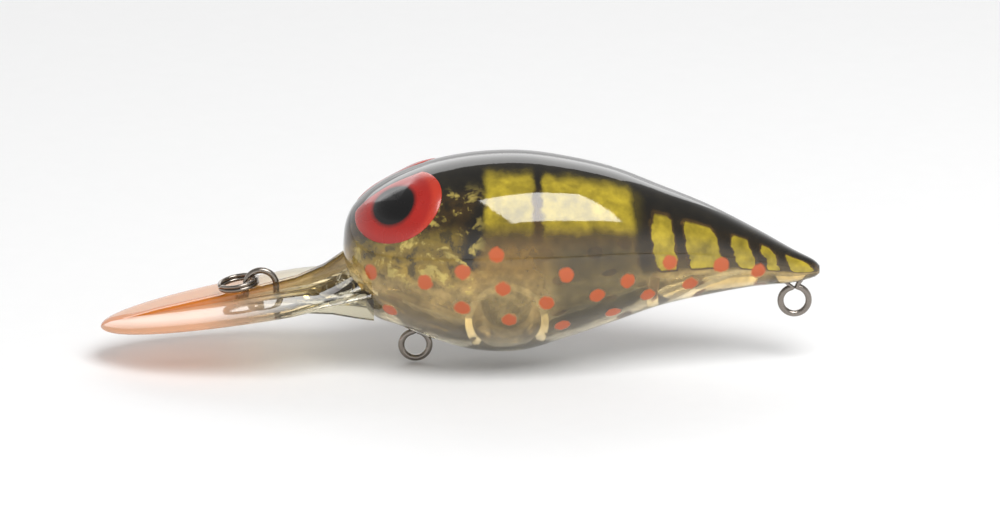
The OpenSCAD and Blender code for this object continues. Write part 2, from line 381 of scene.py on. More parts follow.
def stretch_mask(tree, along, height, stretches, edge, low, high, firm=(0.0, 1.0)):
    """White over stretches of the body's length, from one height to another, with soft edges.
    A firm range cuts the soft edge off, which rounds the corners."""
    length = BODY_LEN / MM
    ramp = add(tree, "ShaderNodeValToRGB")
    stops = [(0.0, 0.0)]
    for start, end in stretches:
        stops += [(start - edge, 0.0), (start + edge, 1.0), (end - edge, 1.0), (end + edge, 0.0)]
    points = ramp.color_ramp.elements
    points.remove(points[1])
    for place, value in stops[1:]:
        points.new(place / length).color = (value, value, value, 1.0)
    points[0].color = (0, 0, 0, 1)
    share = add(tree, "ShaderNodeMath", {0: along, 1: length}, operation="DIVIDE")
    tree.links.new(share.outputs[0], ramp.inputs[0])
    above = add(tree, "ShaderNodeMapRange", {
        "Value": height, "From Min": low[0], "From Max": low[1]}, interpolation_type="SMOOTHSTEP")
    below = add(tree, "ShaderNodeMapRange", {
        "Value": height, "From Min": high[0], "From Max": high[1], "To Min": 1.0, "To Max": 0.0},
        interpolation_type="SMOOTHSTEP")
    both = add(tree, "ShaderNodeMath", {0: above.outputs[0], 1: below.outputs[0]}, operation="MULTIPLY")
    soft = add(tree, "ShaderNodeMath", {0: both.outputs[0], 1: ramp.outputs["Color"]}, operation="MULTIPLY")
    return add(tree, "ShaderNodeMapRange",
               {"Value": soft.outputs[0], "From Min": firm[0], "From Max": firm[1]},
               interpolation_type="SMOOTHSTEP")


def airbrushed_skin(paint):
    """Clear polycarbonate, airbrushed with thin lacquers and dipped in clear coat: a dark glossy
    back that thins down to a see-through belly."""
    material, tree, shader = new_material("airbrushed_clear_polycarbonate")
    skin = add(tree, "ShaderNodeAttribute", attribute_name="skin")
    split = add(tree, "ShaderNodeSeparateXYZ", {0: skin.outputs["Vector"]})
    place = add(tree, "ShaderNodeTexCoord")
    # overspray breaks every edge up in flecks of about 1 mm, and mottles the coats in patches of 4 mm
    fleck = add(tree, "ShaderNodeTexNoise",
                {"Vector": place.outputs["Object"], "Scale": 900.0, "Detail": 5.0})
    patch = add(tree, "ShaderNodeTexNoise", {
        "Vector": place.outputs["Object"], "Scale": 260.0, "Detail": 4.0, "Roughness": 0.6})
    drift = add(tree, "ShaderNodeMath", {0: fleck.outputs["Fac"], 1: 1.2, 2: -0.6}, operation="MULTIPLY_ADD")
    lift = add(tree, "ShaderNodeMath", {0: patch.outputs["Fac"], 1: 0.16, 2: -0.08}, operation="MULTIPLY_ADD")
    moved = add(tree, "ShaderNodeMath", {0: split.outputs["X"], 1: drift.outputs[0]}, operation="ADD")
    lifted = add(tree, "ShaderNodeMath", {0: split.outputs["Y"], 1: lift.outputs[0]}, operation="ADD")
    along, height = moved.outputs[0], lifted.outputs[0]

    # the coats thin from the back to the belly; a stop's alpha is how clear it is
    coats = add(tree, "ShaderNodeValToRGB")
    half = add(tree, "ShaderNodeMath", {0: height, 1: 0.5, 2: 0.5}, operation="MULTIPLY_ADD")
    tree.links.new(half.outputs[0], coats.inputs[0])
    stops = coats.color_ramp.elements
    for at, colour, clear in [
            (0.22, paint.film, 0.80), (0.40, paint.film, 0.55), (0.54, paint.flank, 0.46),
            (0.70, paint.upper, 0.40), (0.84, paint.upper, 0.15), (0.92, paint.dark, 0.05)]:
        stops.new(at).color = (*colour, clear)
    stops[0].color = (*paint.belly, 0.88)
    stops[len(stops) - 1].color = (*paint.dark, 0.03)
    colour, clear = coats.outputs["Color"], coats.outputs["Alpha"]

    lean = add(tree, "ShaderNodeMath", {0: height, 1: -3.1, 2: along}, operation="MULTIPLY_ADD").outputs[0]
    slant = add(tree, "ShaderNodeMath", {0: height, 1: 1.1, 2: along}, operation="MULTIPLY_ADD").outputs[0]
    tail = [(33.3, 36.0), (36.6, 40.5), (42.0, 44.4), (45.0, 47.0), (47.6, 50.6)]
    tail_rise = ((-0.3, 0.12), (0.5, 0.95))
    layers = [
        # dark mottle behind the eye, and the rear of the belly
        (stretch_mask(tree, along, height, [(8.0, 16.0)], 1.4, (0.1, 0.4), (0.9, 1.1)), paint.dark, 0.1,
         0.35),
        (stretch_mask(tree, along, height, [(22.0, 32.5)], 2.2, (-0.85, -0.55), (0.1, 0.5)), paint.rear,
         0.7, 0.7),
        # gold patches in front of the dark bar
        (stretch_mask(tree, along, height, [(1.0, 12.8)], 0.8, (-0.3, 0.15), (0.35, 0.55)), paint.gold,
         0.4, 0.7),
        (stretch_mask(tree, lean, height, [(12.0, 13.9)], 0.6, (0.0, 0.12), (0.68, 0.86)), paint.dark,
         0.05, 0.95),
        # two yellow panels on the shoulder
        (stretch_mask(tree, along, height, [(15.2, 20.5), (21.1, 31.8)], 0.5, (0.28, 0.66), (0.84, 0.98)),
         paint.yellow, 0.05, 1.0),
        # the tail is dark down to its middle, with narrow yellow panels on it, each with a brown rim
        (stretch_mask(tree, slant, height, [(31.6, 52.0)], 0.4, (-0.25, 0.0), (1.2, 1.4)), paint.dark,
         0.25, 0.85),
        (stretch_mask(tree, slant, height, tail, 0.5, *tail_rise, (0.30, 0.42)), paint.upper, 0.2, 1.0),
        (stretch_mask(tree, slant, height, tail, 0.6, *tail_rise, (0.44, 0.60)), paint.yellow, 0.1, 1.0),
    ]
    for mask, over, clarity, strength in layers:
        share = add(tree, "ShaderNodeMath", {0: mask.outputs[0], 1: strength}, operation="MULTIPLY")
        amount = share.outputs[0]
        colour = add(tree, "ShaderNodeMix", {0: amount, 6: colour, 7: rgba(over)},
                     data_type="RGBA").outputs[2]
        clear = add(tree, "ShaderNodeMix", {0: amount, 2: clear, 3: clarity}).outputs[0]

    # behind and under the eye the dark is dabbed on and the gold is flaked, in blots of 1 to 2 mm; the
    # lighter gold flecks are a painted glint of the flakes
    head = stretch_mask(tree, along, height, [(1.5, 14.6)], 1.2, (-0.35, 0.0), (0.7, 0.9))
    blot = add(tree, "ShaderNodeTexNoise", {
        "Vector": place.outputs["Object"], "Scale": 620.0, "Detail": 3.0, "Roughness": 0.6,
        "Distortion": 0.3})
    # the dark dabs are paint; the light gold dabs are painted glint, flecks lightened as if catching the
    # light
    dabs = [(0.50, 0.64, paint.dark, 0.1, 0.75), (0.47, 0.34, paint.glint, 0.3, 0.9)]
    for start, end, over, clarity, strength in dabs:
        dab = add(tree, "ShaderNodeMapRange", {
            "Value": blot.outputs["Fac"], "From Min": start, "From Max": end, "To Max": strength},
            interpolation_type="SMOOTHSTEP")
        share = add(tree, "ShaderNodeMath", {0: dab.outputs[0], 1: head.outputs[0]}, operation="MULTIPLY")
        amount = share.outputs[0]
        colour = add(tree, "ShaderNodeMix", {0: amount, 6: colour, 7: rgba(over)},
                     data_type="RGBA").outputs[2]
        clear = add(tree, "ShaderNodeMix", {0: amount, 2: clear, 3: clarity}).outputs[0]

    # the coats are put on in two blotchy passes, one in clouds of 4 mm and one in flecks of 1 mm
    cloud = add(tree, "ShaderNodeMapRange", {
        "Value": patch.outputs["Fac"], "From Min": 0.3, "From Max": 0.7, "To Min": 0.6, "To Max": 1.3})
    speck = add(tree, "ShaderNodeMapRange", {
        "Value": fleck.outputs["Fac"], "From Min": 0.35, "From Max": 0.65, "To Min": 0.75, "To Max": 1.2})
    tone = add(tree, "ShaderNodeMath", {0: cloud.outputs[0], 1: speck.outputs[0]}, operation="MULTIPLY")
    shade = add(tree, "ShaderNodeVectorMath", {0: colour, "Scale": tone.outputs[0]}, operation="SCALE")

    # round spots, about 2 mm across, with a soft sprayed edge
    spot = add(tree, "ShaderNodeAttribute", attribute_name="spot")
    ragged = add(tree, "ShaderNodeMath", {0: fleck.outputs["Fac"], 1: 0.5, 2: spot.outputs["Fac"]},
                 operation="MULTIPLY_ADD")
    dot = add(tree, "ShaderNodeMapRange", {
        "Value": ragged.outputs[0], "From Min": 0.95, "From Max": 1.3, "To Min": 1.0, "To Max": 0.0},
        interpolation_type="SMOOTHSTEP")
    dotted = add(tree, "ShaderNodeMix", {0: dot.outputs[0], 6: shade.outputs[0], 7: rgba(paint.spot)},
                 data_type="RGBA")
    shown = add(tree, "ShaderNodeMix", {0: dot.outputs[0], 2: clear, 3: 0.05})

    rough = add(tree, "ShaderNodeMapRange", {"Value": patch.outputs["Fac"], "To Min": 0.02, "To Max": 0.09})
    relief = add(tree, "ShaderNodeMath", {0: fleck.outputs["Fac"], 1: 0.3, 2: patch.outputs["Fac"]},
                 operation="MULTIPLY_ADD")
    raised = add(tree, "ShaderNodeMath", {0: dot.outputs[0], 1: 0.6, 2: relief.outputs[0]},
                 operation="MULTIPLY_ADD")
    # the weld runs down the middle as a shallow line
    weld = add(tree, "ShaderNodeMath", {0: split.outputs["Z"]}, operation="ABSOLUTE")
    seam = add(tree, "ShaderNodeMapRange",
               {"Value": weld.outputs[0], "From Max": 0.16, "To Min": -0.8, "To Max": 0.0})
    surface = add(tree, "ShaderNodeMath", {0: raised.outputs[0], 1: seam.outputs[0]}, operation="ADD")
    bump = add(tree, "ShaderNodeBump", {"Height": surface.outputs[0], "Strength": 0.15, "Distance": 0.0001})
    tree.links.new(dotted.outputs[2], shader.inputs["Base Color"])
    tree.links.new(shown.outputs[0], shader.inputs["Transmission Weight"])
    tree.links.new(rough.outputs["Result"], shader.inputs["Roughness"])
    tree.links.new(bump.outputs["Normal"], shader.inputs["Normal"])
    shader.inputs["IOR"].default_value = 1.58
    shader.inputs["Coat Weight"].default_value = 0.3
    shader.inputs["Coat Roughness"].default_value = 0.03
    return material


def tinted_lip(paint):
    """Clear polycarbonate, moulded and tinted by spraying: orange at the tip, clear at the root."""
    material, tree, shader = new_material("spray_tinted_polycarbonate")
    skin = add(tree, "ShaderNodeAttribute", attribute_name="skin")
    split = add(tree, "ShaderNodeSeparateXYZ", {0: skin.outputs["Vector"]})
    place = add(tree, "ShaderNodeTexCoord")
    haze = add(tree, "ShaderNodeTexNoise", {"Vector": place.outputs["Object"], "Scale": 240.0, "Detail": 5.0})
    drift = add(tree, "ShaderNodeMath", {0: haze.outputs["Fac"], 1: 5.0, 2: -2.5}, operation="MULTIPLY_ADD")
    along = add(tree, "ShaderNodeMath", {0: split.outputs["X"], 1: drift.outputs[0]}, operation="ADD")
    fade = add(tree, "ShaderNodeMapRange", {
        "Value": along.outputs[0], "From Min": -17.0, "From Max": -4.0}, interpolation_type="SMOOTHSTEP")
    sheet = add(tree, "ShaderNodeMix", {0: fade.outputs[0], 6: rgba(paint.lip_tip), 7: rgba(paint.lip_root)},
                data_type="RGBA")
    clear = add(tree, "ShaderNodeMapRange", {"Value": fade.outputs[0], "To Min": 0.34, "To Max": 0.98})
    # the spine is thicker, so its orange is deeper and turns olive towards the head
    weld = add(tree, "ShaderNodeMath", {0: split.outputs["Z"]}, operation="ABSOLUTE")
    middle = add(tree, "ShaderNodeMapRange", {
        "Value": weld.outputs[0], "From Min": 0.7, "From Max": 0.9, "To Min": 1.0, "To Max": 0.0})
    deep = add(tree, "ShaderNodeMix", {0: fade.outputs[0], 6: rgba(paint.spine), 7: rgba(paint.flank)},
               data_type="RGBA")
    both = add(tree, "ShaderNodeMix", {0: middle.outputs[0], 6: sheet.outputs[2], 7: deep.outputs[2]},
               data_type="RGBA")
    rough = add(tree, "ShaderNodeMapRange", {"Value": haze.outputs["Fac"], "To Min": 0.02, "To Max": 0.12})
    bump = add(tree, "ShaderNodeBump", {"Height": haze.outputs["Fac"], "Strength": 0.08, "Distance": 0.0001})
    tree.links.new(both.outputs[2], shader.inputs["Base Color"])
    tree.links.new(clear.outputs[0], shader.inputs["Transmission Weight"])
    tree.links.new(rough.outputs["Result"], shader.inputs["Roughness"])
    tree.links.new(bump.outputs["Normal"], shader.inputs["Normal"])
    shader.inputs["IOR"].default_value = 1.58
    return material


def enamelled_eye(paint):
    """Enamel under a clear dome: a red iris with a darker ring round a black pupil."""
    material, tree, shader = new_material("domed_enamel")
    disc = add(tree, "ShaderNodeAttribute", attribute_name="disc")
    place = add(tree, "ShaderNodeTexCoord")
    grain = add(tree, "ShaderNodeTexNoise",
                {"Vector": place.outputs["Object"], "Scale": 1500.0, "Detail": 4.0})
    cloud = add(tree, "ShaderNodeTexNoise",
                {"Vector": place.outputs["Object"], "Scale": 300.0, "Detail": 3.0})
    centred = add(tree, "ShaderNodeVectorMath", {0: disc.outputs["Vector"], 1: (-0.10, -0.07, 0.0)},
                  operation="SUBTRACT")
    squeezed = add(tree, "ShaderNodeVectorMath", {0: centred.outputs[0], 1: (1.06, 0.94, 0.0)},
                   operation="MULTIPLY")
    reach = add(tree, "ShaderNodeVectorMath", {0: squeezed.outputs[0]}, operation="LENGTH")
    ragged = add(tree, "ShaderNodeMath", {0: grain.outputs["Fac"], 1: 0.03, 2: reach.outputs["Value"]},
                 operation="MULTIPLY_ADD")
    bands = add(tree, "ShaderNodeValToRGB")
    tree.links.new(ragged.outputs[0], bands.inputs[0])
    stops = bands.color_ramp.elements
    iris_dark = tuple(0.45 * c for c in paint.iris)
    for at, colour in [(0.49, paint.pupil), (0.53, iris_dark), (0.60, paint.iris), (0.88, paint.iris)]:
        stops.new(at).color = rgba(colour)
    stops[0].color = rgba(paint.pupil)
    stops[len(stops) - 1].color = rgba(paint.iris_edge)
    tone = add(tree, "ShaderNodeMapRange", {"Value": cloud.outputs["Fac"], "To Min": 0.8, "To Max": 1.2})
    shade = add(tree, "ShaderNodeVectorMath", {0: bands.outputs["Color"], "Scale": tone.outputs[0]},
                operation="SCALE")
    rough = add(tree, "ShaderNodeMapRange", {"Value": cloud.outputs["Fac"], "To Min": 0.15, "To Max": 0.4})
    bump = add(tree, "ShaderNodeBump", {"Height": grain.outputs["Fac"], "Strength": 0.12,
                                        "Distance": 0.00005})
    tree.links.new(shade.outputs[0], shader.inputs["Base Color"])
    tree.links.new(rough.outputs["Result"], shader.inputs["Roughness"])
    tree.links.new(bump.outputs["Normal"], shader.inputs["Normal"])
    shader.inputs["IOR"].default_value = 1.5
    shader.inputs["Coat Weight"].default_value = 0.4
    shader.inputs["Coat Roughness"].default_value = 0.06
    return material


def bright_metal(name, colour, rough_low, rough_high, marks):
    """Steel with fine marks left by how it was made."""
    material, tree, shader = new_material(name)
    place = add(tree, "ShaderNodeTexCoord")
    mark = add(tree, "ShaderNodeTexNoise", {"Vector": place.outputs["Object"], "Scale": marks, "Detail": 5.0})
    stain = add(tree, "ShaderNodeTexNoise",
                {"Vector": place.outputs["Object"], "Scale": 450.0, "Detail": 2.0})
    tone = add(tree, "ShaderNodeMapRange", {"Value": stain.outputs["Fac"], "To Min": 0.65, "To Max": 1.1})
    shade = add(tree, "ShaderNodeVectorMath", {0: tuple(colour), "Scale": tone.outputs[0]}, operation="SCALE")
    rough = add(tree, "ShaderNodeMapRange", {
        "Value": mark.outputs["Fac"], "To Min": rough_low, "To Max": rough_high})
    bump = add(tree, "ShaderNodeBump", {"Height": mark.outputs["Fac"], "Strength": 0.15, "Distance": 0.00002})
    tree.links.new(shade.outputs[0], shader.inputs["Base Color"])
    tree.links.new(rough.outputs["Result"], shader.inputs["Roughness"])
    tree.links.new(bump.outputs["Normal"], shader.inputs["Normal"])
    shader.inputs["Metallic"].default_value = 1.0
    return material


# ---------------------------------------------------------------- parts of the shell

# In millimetres: height of the lip's root, where its rounded end starts, how far it runs into the
# head, and how much narrower each side is there
LIP_ROOT_Z = -3.8
LIP_STRAIGHT = 5.4
LIP_ROOT = 3.2
LIP_WAIST = 2.0


def on_slope(points, sizes):
    """Turns points that lie along the lip's slope, with x back from the root, into place."""
    a = sizes.lip_angle
    out = np.array(points, float)
    x, z = out[:, 0].copy(), out[:, 2].copy()
    out[:, 0] = x * math.cos(a) - z * math.sin(a)
    out[:, 2] = LIP_ROOT_Z + x * math.sin(a) + z * math.cos(a)
    return out


# Section through the lip's rim: inset from the outline, and height as a share of half thickness
RIM = [(2.4, -1.0), (1.1, -0.9), (0.4, -0.62), (0.1, -0.32), (0.0, 0.0), (0.1, 0.32), (0.4, 0.62),
       (1.1, 0.9), (2.4, 1.0)]


def blade(sizes):
    """The flat of the lip: half an ellipse with a thin rounded rim."""
    reach, half = sizes.lip_len / MM - LIP_STRAIGHT, sizes.lip_width / MM / 2
    angles = np.radians(np.linspace(90, 270, 121))
    rings = []
    for inset, share in RIM:
        front = np.column_stack([
            (reach - inset) * np.cos(angles) - LIP_STRAIGHT, (half - inset) * np.sin(angles)])
        waist = half - LIP_WAIST - inset
        back = np.array([[LIP_ROOT, -waist], [LIP_ROOT, waist]])
        outline = np.vstack([front, back])
        rings.append(on_slope(np.column_stack([
            outline, np.full(len(outline), share * sizes.lip_t / MM / 2)]), sizes))
    return rings_mesh("blade", rings)


# The spine's upper and lower edges: x, and height above the middle of the lip
RIDGE = [(-25, 0.35), (-20, 0.85), (-14, 1.2), (-8.8, 1.48), (-5, 1.8), (-2, 2.6), (1, 4.2), (2.6, 4.4)]
KEEL = [(-25, -0.3), (-8, -0.6), (-3, -0.9), (0, -1.5), (2.6, -2.2)]


def lip_z(x, sizes):
    return LIP_ROOT_Z + x * math.tan(sizes.lip_angle)


def spine(sizes):
    """The ridge down the middle of the lip that holds the line tie, with rounded edges."""
    half = sizes.spine_w / MM / 2
    angles = np.linspace(0, 2 * math.pi, 40, endpoint=False)
    rings = []
    for x in np.linspace(-25, 2.6, 70):
        high = lip_z(x, sizes) + np.interp(x, *zip(*RIDGE))
        low = lip_z(x, sizes) + np.interp(x, *zip(*KEEL))
        c, s = np.cos(angles), np.sin(angles)
        rings.append(np.column_stack([
            np.full_like(angles, x), half * np.sign(c) * np.abs(c) ** 0.4,
            (high + low) / 2 + (high - low) / 2 * np.sign(s) * np.abs(s) ** 0.45]))
    return rings_mesh("spine", rings)


def root_rib(y, sizes):
    """A low rib under the root of the lip."""
    side = [(-5.5, -0.4), (3.4, -0.4), (3.4, -2.9), (1.5, -2.3), (-1, -1.4)]
    loop = np.array([[x, 0, lip_z(x, sizes) + rise] for x, rise in side])
    rings = [loop + np.array([0, y + offset, 0]) for offset in (-0.45, 0.45)]
    return rings_mesh("rib", rings)


def fairing(sizes):
    """The rounded blend between the lip's upper side and the head."""
    angles = np.linspace(0, 2 * math.pi, 72, endpoint=False)
    rings = []
    for s in np.linspace(0, 1, 28):
        x = -5.0 + 9.0 * s
        rings.append(np.column_stack([
            np.full_like(angles, x), (6.6 - 2.6 * s * s) * np.cos(angles),
            lip_z(x, sizes) + (0.5 + 3.2 * s * s) * np.sin(angles)]))
    return rings_mesh("fairing", rings)


# Half the width of a cutting solid, more than any part of the body
WIDE = 12
# Place of the main chamber's rear wall: middle as a share of the length and a height, and radius as
# a share of the length; then thickness of the wall and start of the solid tail
ARC_MID = (0.333, 0.5)
ARC_R = 0.306
BULKHEAD = 1.1
TAIL_BLOCK = 0.86
BALL_CHAMBER = (0.343, -0.49)
CHAMBER_WALL = 0.7
CHAMBER_SKIN = 0.9
ROOT_IN = 0.4


def chamber_cutters(body, sizes):
    """The air inside: the main chamber, and the one in the tail behind a curved wall."""
    insets = (sizes.back_wall / MM, sizes.belly_wall / MM, sizes.wall / MM)
    middle = (ARC_MID[0] * body.length, 0, ARC_MID[1])
    radius = ARC_R * body.length
    main = combine(body.loft(*insets), drum(middle, radius, WIDE), "INTERSECT")
    nose_block = block((0.045 * body.length, -WIDE, -WIDE), (body.length, WIDE, WIDE))
    main = combine(main, nose_block, "INTERSECT")
    rear = combine(body.loft(*insets), drum(middle, radius + BULKHEAD, WIDE), "DIFFERENCE")
    tail_block = block((0.5 * body.length, -WIDE, -WIDE), (TAIL_BLOCK * body.length, WIDE, WIDE))
    rear = combine(rear, tail_block, "INTERSECT")
    return main, rear


def chamber_middle(body):
    return (BALL_CHAMBER[0] * body.length, 0, BALL_CHAMBER[1] * body.half_h)


def mould_shell(body, sizes):
    """Both welded halves in one solid, hollow, with the ball's chamber and the webs inside."""
    shell = body.loft()
    for part in [blade(sizes), spine(sizes), fairing(sizes)] + [root_rib(y, sizes) for y in (-5.4, 0, 5.4)]:
        shell = combine(shell, part, "UNION")
    for air in chamber_cutters(body, sizes):
        shell = combine(shell, air, "DIFFERENCE")
    half_h, middle = body.half_h, chamber_middle(body)
    radius = sizes.chamber_r / MM
    webs = [block((4.4, -1, -half_h), (11.6, 1, 6.4 - half_h)),
            block((TAIL_BLOCK * body.length - 1.5, -1, -WIDE), (body.length + 1, 1, WIDE)),
            drum(middle, radius + CHAMBER_WALL, WIDE)]
    for web in webs:
        shell = combine(shell, combine(body.loft(ROOT_IN, ROOT_IN, ROOT_IN), web, "INTERSECT"), "UNION")
    bore = combine(body.loft(CHAMBER_SKIN, CHAMBER_SKIN, CHAMBER_SKIN), drum(middle, radius, WIDE),
                   "INTERSECT")
    return combine(shell, bore, "DIFFERENCE")


# How far in from the skin a face lies, as Body.skin measures it: proud of the skin, or painted; and
# how far back from the nose the lip's finish reaches, in millimetres
PROUD = 1.03
PAINTED = 0.93
LIP_END = 4.5


def mark_skin(shell, body, sizes):
    """Writes where each point lies on the skin, and how far it is from the nearest spot."""
    mesh = shell.data
    points = np.empty(len(mesh.vertices) * 3)
    mesh.vertices.foreach_get("co", points)
    points = points.reshape(-1, 3)
    share, fill = body.skin(points)
    skin = mesh.attributes.new("skin", "FLOAT_VECTOR", "POINT")
    skin.data.foreach_set("vector", np.column_stack([points[:, 0], share, points[:, 1]]).ravel())
    centres = np.array([body.on_skin(x, high, side) for x, high in SPOTS for side in (-1, 1)])
    nearest = np.linalg.norm(points[:, None, :] - centres[None, :, :], axis=2).min(axis=1)
    spot = mesh.attributes.new("spot", "FLOAT", "POINT")
    spot.data.foreach_set("value", nearest / (sizes.spot_d / MM / 2))
    middles = np.array([face.center[:] for face in mesh.polygons])
    _, depth = body.skin(middles)
    lip = ((depth > PROUD) & (middles[:, 0] < LIP_END)) | (middles[:, 0] < 0)
    index = np.where(lip, 2, np.where(depth > PAINTED, 0, 1))
    mesh.polygons.foreach_set("material_index", index.astype(np.int32))


# ---------------------------------------------------------------- eyes

EYE_RISE = math.radians(44)
EYE_PROUD = 0.12
EYE_GAP = 1.9
# Section through a disc: share of its radius, and height above the skin
EYE_SECTION = [(0.04, 0.3), (0.3, 0.29), (0.5, 0.27), (0.52, 0.25), (0.7, 0.21), (0.85, 0.17), (0.95, 0.12),
               (0.99, 0.07), (1.0, 0.0), (1.0, -0.2), (0.99, -0.42), (0.6, -0.45), (0.05, -0.45)]


def wrap_to_skin(body, start, axis, grow):
    """Slides points along the eye's axis until they lie on the skin, raised by grow."""
    inner, outer = np.full(len(start), -6.0), np.full(len(start), 7.0)
    for _ in range(40):
        reach = (inner + outer) / 2
        at = start + reach[:, None] * axis
        middle, up, down, out = body.section(at[:, 0])
        rise = at[:, 2] - middle
        share = rise / (np.where(rise >= 0, up, down) + grow)
        full = (np.abs(at[:, 1]) / (out + grow)) ** FULLNESS + np.abs(share) ** FULLNESS
        outer = np.where(full > 1, reach, outer)
        inner = np.where(full > 1, inner, reach)
    return start + inner[:, None] * axis


def eye_disc(body, sizes, side):
    """A thin domed disc wrapped over the head."""
    middle = np.array([0.118 * body.length, side * 0.265 * 2 * body.half_w, 0.333 * 2 * body.half_h])
    axis = np.array([0.0, side * math.cos(EYE_RISE), math.sin(EYE_RISE)])
    along, across = np.array([1.0, 0, 0]), np.array([0.0, -side * math.sin(EYE_RISE), math.cos(EYE_RISE)])
    angles = np.linspace(0, 2 * math.pi, 96, endpoint=False)
    radius = sizes.eye_d / MM / 2
    ways = np.cos(angles)[:, None] * along + np.sin(angles)[:, None] * across
    # the disc is trimmed where it would run over the crown
    least, most = np.zeros(len(angles)), np.ones(len(angles))
    for _ in range(24):
        half = (least + most) / 2
        edge = wrap_to_skin(body, middle + radius * half[:, None] * ways, axis, EYE_PROUD)
        clear = side * edge[:, 1] > EYE_GAP
        least, most = np.where(clear, half, least), np.where(clear, most, half)
    # where it is trimmed, it lies nearly flush with the skin
    flush = np.clip((least - 0.6) / 0.38, 0.1, 1.0)
    rings = [wrap_to_skin(body, middle + radius * share * least[:, None] * ways, axis,
                          max(rise, 0) * (1 - (1 - flush) * share) + min(rise, 0))
             for share, rise in EYE_SECTION]
    disc = rings_mesh("eye", rings)
    points = np.array([v.co[:] for v in disc.data.vertices]) - middle
    mark = disc.data.attributes.new("disc", "FLOAT_VECTOR", "POINT")
    mark.data.foreach_set("vector", np.column_stack([
        points @ along / radius, points @ across / radius, np.zeros(len(points))]).ravel())
    return disc


# ---------------------------------------------------------------- wires

def wire_tree():
    """Sweeps a round wire along each path, closed at its ends, and gives it its finish."""
    tree = bpy.data.node_groups.new("Round wire along a path", "GeometryNodeTree")
    sockets = {}
    tree.interface.new_socket("Path", in_out="INPUT", socket_type="NodeSocketGeometry")
    for name, kind in [("Wire radius", "NodeSocketFloat"), ("Points round", "NodeSocketInt"),
                       ("Finish", "NodeSocketMaterial")]:
        sockets[name] = tree.interface.new_socket(name, in_out="INPUT", socket_type=kind).identifier
    tree.interface.new_socket("Wire", in_out="OUTPUT", socket_type="NodeSocketGeometry")
    given = add(tree, "NodeGroupInput")
    curve = add(tree, "GeometryNodeMeshToCurve", {"Mesh": given.outputs["Path"]})
    ring = add(tree, "GeometryNodeCurvePrimitiveCircle", {
        "Radius": given.outputs["Wire radius"], "Resolution": given.outputs["Points round"]})
    swept = add(tree, "GeometryNodeCurveToMesh", {
        "Curve": curve.outputs["Curve"], "Profile Curve": ring.outputs["Curve"], "Fill Caps": True})
    smooth = add(tree, "GeometryNodeSetShadeSmooth", {0: swept.outputs["Mesh"]})
    real = add(tree, "GeometryNodeRealizeInstances", {0: smooth.outputs[0]})
    finished = add(tree, "GeometryNodeSetMaterial", {
        "Geometry": real.outputs[0], "Material": given.outputs["Finish"]})
    add(tree, "NodeGroupOutput", {0: finished.outputs["Geometry"]})
    return tree, sockets


def wire(points, radius, finish, around=24):
    """A round wire along a path, as a plain mesh in millimetres."""
    mesh = bpy.data.meshes.new("path")
    n = len(points)
    mesh.from_pydata([tuple(p) for p in points], [(i, i + 1) for i in range(n - 1)], [])
    made = bpy.data.objects.new("wire", mesh)
    bpy.context.scene.collection.objects.link(made)
    tree, sockets = wire_tree()
    modifier = made.modifiers.new("wire", "NODES")
    modifier.node_group = tree
    modifier[sockets["Wire radius"]] = radius
    modifier[sockets["Points round"]] = around
    modifier[sockets["Finish"]] = finish
    made.update_tag()
    result = evaluated_mesh(made)
    made.modifiers.clear()
    made.data = result
    bm = bmesh.new()
    bm.from_mesh(result)
    bmesh.ops.remove_doubles(bm, verts=bm.verts, dist=1e-5)
    bmesh.ops.recalc_face_normals(bm, faces=bm.faces)
    bm.to_mesh(result)
    bm.free()
    return made


def rounded(points, radius, steps=8):
    """A path with its corners turned to arcs, as bent wire has."""
    points = [np.array(p, float) for p in points]
    path = [points[0]]
    for before, corner, after in zip(points, points[1:], points[2:]):
        a, b = before - corner, after - corner
        reach = min(radius, 0.45 * np.linalg.norm(a), 0.45 * np.linalg.norm(b))
        start = corner + a / np.linalg.norm(a) * reach
        end = corner + b / np.linalg.norm(b) * reach
        for t in np.linspace(0, 1, steps + 1):
            path.append((1 - t) ** 2 * start + 2 * t * (1 - t) * corner + t * t * end)
    return path + [points[-1]]


BELLY_LEGS = [(-14, 3.4), (42, 2.3)]
TAIL_LEGS = [(-50, 3.2), (24, 1.6)]
FOOT = 1.2
LOOP_START = 98


def hook_eye_path(middle, legs, loop_r):
    """Down one leg, round the loop and up the other, each leg with a short foot that grips the web."""
    ends = []
    for angle, length in legs:
        a = math.radians(angle)
        start = np.array([loop_r * math.sin(a / 2), 0, loop_r * math.cos(a / 2)])
        knee = start + length * np.array([math.sin(a), 0, math.cos(a)])
        ends.append([knee + np.array([math.copysign(FOOT, angle), 0, 0]), knee])
    left, right = ends
    turn = np.radians(np.linspace(LOOP_START, 540 - LOOP_START, 96))
    # the two ends of the loop lie side by side where they pass, a little to each side of the middle
    loop = np.column_stack([loop_r * np.cos(turn), np.linspace(-0.12, 0.12, 96), loop_r * np.sin(turn)])
    path = rounded(left + [loop[0]], 0.5) + list(loop[1:-1]) + rounded([loop[-1]] + right[::-1], 0.5)
    return np.array(path) + np.array(middle)


def line_tie_path(tie, sizes):
    """A half-round arch with two legs down into the spine, and a foot on each."""
    r, leg, a = sizes.arch_r / MM, 1.3, sizes.lip_angle
    turn = np.linspace(math.pi, 0, 48)
    arch = np.column_stack([r * np.cos(turn), np.zeros(48), r * np.sin(turn)])
    feet = [np.array([side * r, 0, -leg]) + FOOT * np.array([side * math.cos(a), 0, side * math.sin(a)])
            for side in (-1, 1)]
    front = rounded([feet[0], (-r, 0, -leg), arch[0]], 0.5)
    back = rounded([arch[-1], (r, 0, -leg), feet[1]], 0.5)
    return np.array(front + list(arch[1:-1]) + back) + np.array(tie)


